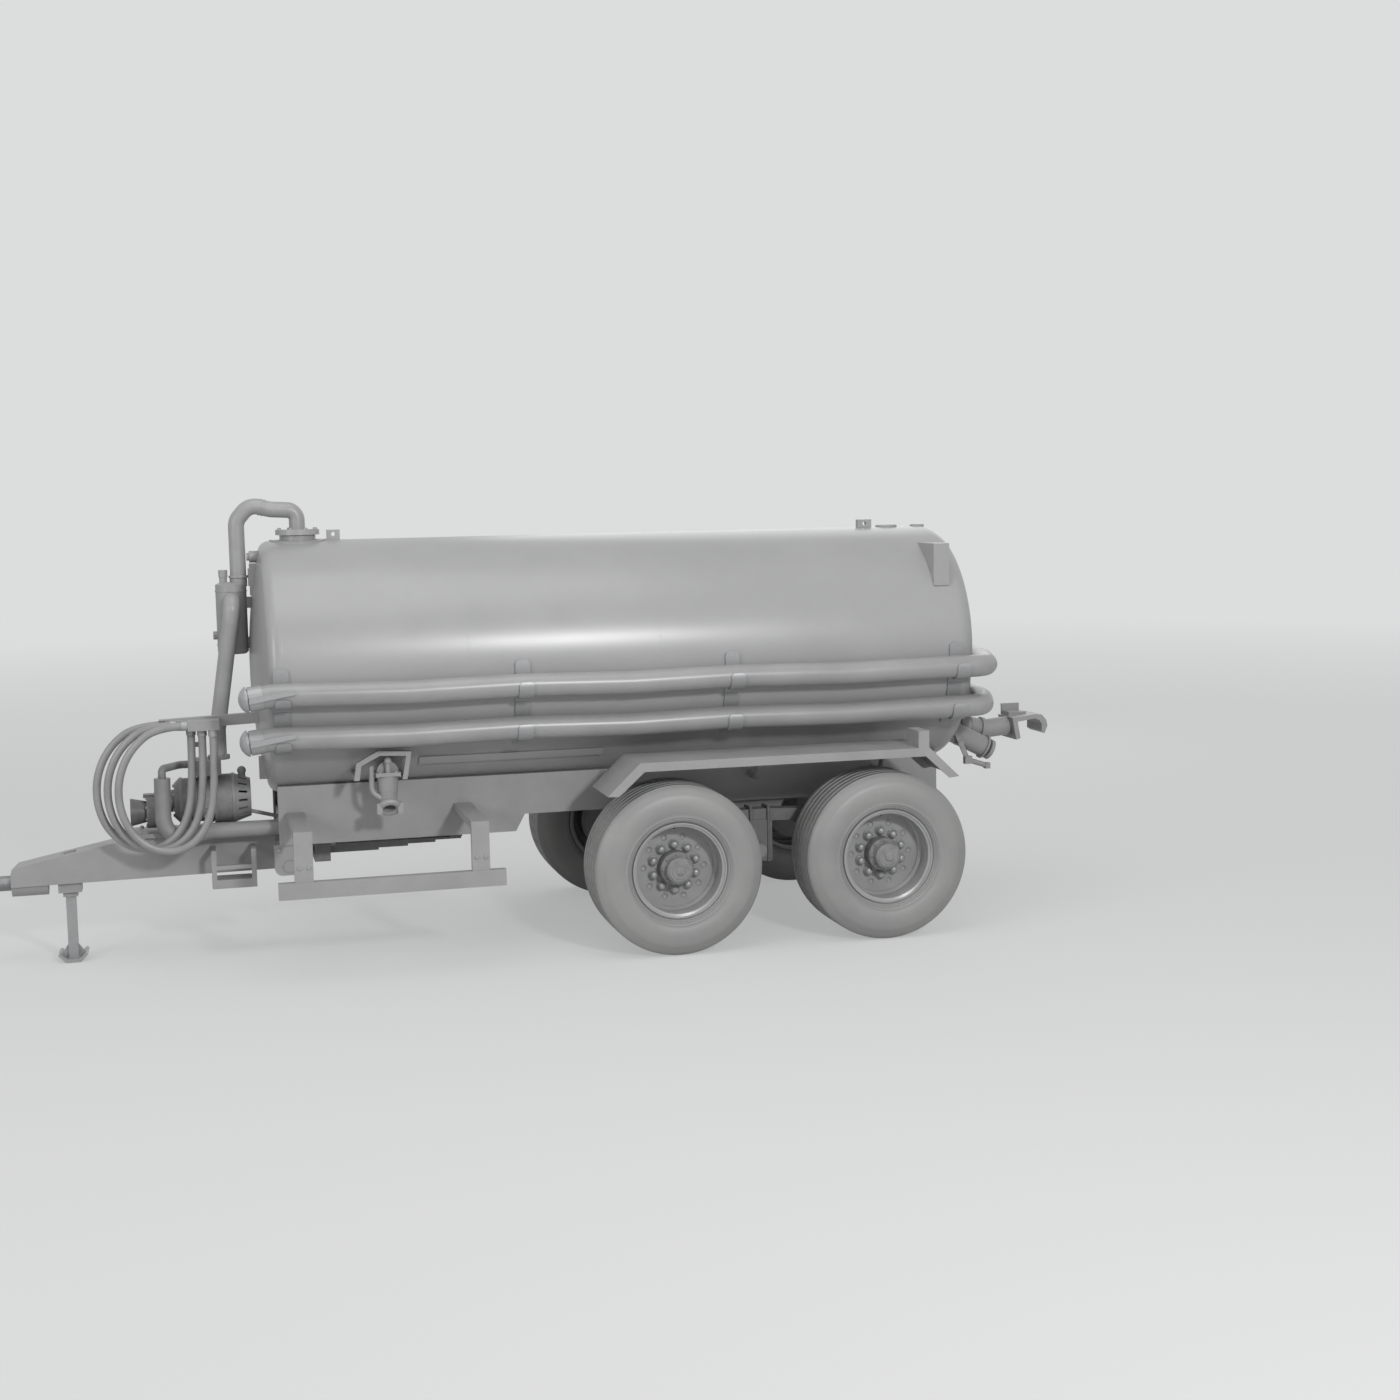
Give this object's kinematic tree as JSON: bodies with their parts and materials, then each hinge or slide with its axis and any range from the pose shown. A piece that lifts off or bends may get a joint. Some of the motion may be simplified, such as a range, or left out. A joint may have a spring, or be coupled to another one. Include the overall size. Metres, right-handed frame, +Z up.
{
  "type": "tandem-axle liquid manure tank spreader trailer",
  "caption": "Drawbar tank trailer on a tandem bogie with vacuum pump, side suction hoses, rear spreading outlet and a drop leg.",
  "frame": {"origin": "on the ground, below the middle of the overall box of the parked trailer", "axes": "+X to the rear along the travel axis, +Y to the trailer's right-hand side, +Z up"},
  "size_m": [7.315, 2.44, 2.8738],
  "materials": {
    "axle_paint": "chassis enamel, dusty",
    "chassis_paint": "satin enamel on welded steel",
    "coupling_zinc": "galvanised pressings",
    "forged_steel": "forged, worn bright",
    "guard_plastic": "moulded guard plastic",
    "hose_rubber": "ribbed suction hose",
    "hub_cast": "painted cast iron",
    "leg_zinc": "zinc plated",
    "loop_rubber": "smooth covered hydraulic hose",
    "pipe_paint": "satin enamel on steel tube",
    "pump_cast_iron": "painted sand-cast iron",
    "pump_paint": "satin enamel on cast housing",
    "rim_paint": "wheel enamel, gloss",
    "spring_steel": "rolled spring steel, painted",
    "strap_steel": "galvanised strip",
    "tank_paint": "satin two-coat enamel on rolled sheet",
    "tyre_rubber": "moulded tyre rubber, dusty"
  },
  "bodies": {
    "root": {"axle_front": "axle_paint", "axle_rear": "axle_paint", "bogie_hangers": "chassis_paint", "cross_members": "chassis_paint", "deflector": "pipe_paint", "down_pipe": "pipe_paint", "drawbar": "chassis_paint", "drawbar_spring": "spring_steel", "filler_neck": "tank_paint", "frame_rails": "chassis_paint", "gooseneck_pipe": "pipe_paint", "hose_arm": "chassis_paint", "hose_caps": "coupling_zinc", "hose_loop_1": "loop_rubber", "hose_loop_2": "loop_rubber", "hose_loop_3": "loop_rubber", "hose_straps": "strap_steel", "leaf_springs": "spring_steel", "leg_sleeve": "chassis_paint", "lower_outlet": "pipe_paint", "marker_boxes": "tank_paint", "mudguard_stays": "chassis_paint", "mudguards": "chassis_paint", "outlet_gate": "pump_paint", "outlet_pipe": "pipe_paint", "outlet_stub": "tank_paint", "pivot_brackets": "chassis_paint", "pto_guard": "guard_plastic", "pump_base": "chassis_paint", "pump_body": "pump_cast_iron", "pump_cowl": "pump_paint", "pump_gearbox": "pump_cast_iron", "pump_hose": "loop_rubber", "pump_valve": "pump_cast_iron", "roof_fittings": "tank_paint", "side_guard_posts": "chassis_paint", "side_guard_rails": "chassis_paint", "side_valve": "pipe_paint", "side_valve_guard": "chassis_paint", "siphon_vessel": "pipe_paint", "step": "chassis_paint", "suction_hose_lower": "hose_rubber", "suction_hose_upper": "hose_rubber", "tank_end_fittings": "chassis_paint", "tank_shell": "tank_paint", "tank_strips": "tank_paint", "towing_eye": "forged_steel"},
    "wheel_front_left": {"tyre_front_left": "tyre_rubber", "rim_front_left": "rim_paint", "hub_front_left": "hub_cast"},
    "wheel_front_right": {"tyre_front_right": "tyre_rubber", "rim_front_right": "rim_paint", "hub_front_right": "hub_cast"},
    "wheel_rear_left": {"tyre_rear_left": "tyre_rubber", "rim_rear_left": "rim_paint", "hub_rear_left": "hub_cast"},
    "wheel_rear_right": {"tyre_rear_right": "tyre_rubber", "rim_rear_right": "rim_paint", "hub_rear_right": "hub_cast"},
    "leg": {"drop_leg": "leg_zinc"}
  },
  "joints": [
    {"name": "spin_front_left", "type": "hinge", "parent": "root", "child": "wheel_front_left", "pos_m": [0.6925, -0.992, 0.536], "axis": [0, 1, 0], "continuous": true},
    {"name": "spin_front_right", "type": "hinge", "parent": "root", "child": "wheel_front_right", "pos_m": [0.6925, 0.992, 0.536], "axis": [0, 1, 0], "continuous": true},
    {"name": "spin_rear_left", "type": "hinge", "parent": "root", "child": "wheel_rear_left", "pos_m": [2.0625, -0.992, 0.536], "axis": [0, 1, 0], "continuous": true},
    {"name": "spin_rear_right", "type": "hinge", "parent": "root", "child": "wheel_rear_right", "pos_m": [2.0625, 0.992, 0.536], "axis": [0, 1, 0], "continuous": true},
    {"name": "leg_lift", "type": "slide", "parent": "root", "child": "leg", "axis": [0, 0, 1], "range_m": [0, 0.24]}
  ]
}
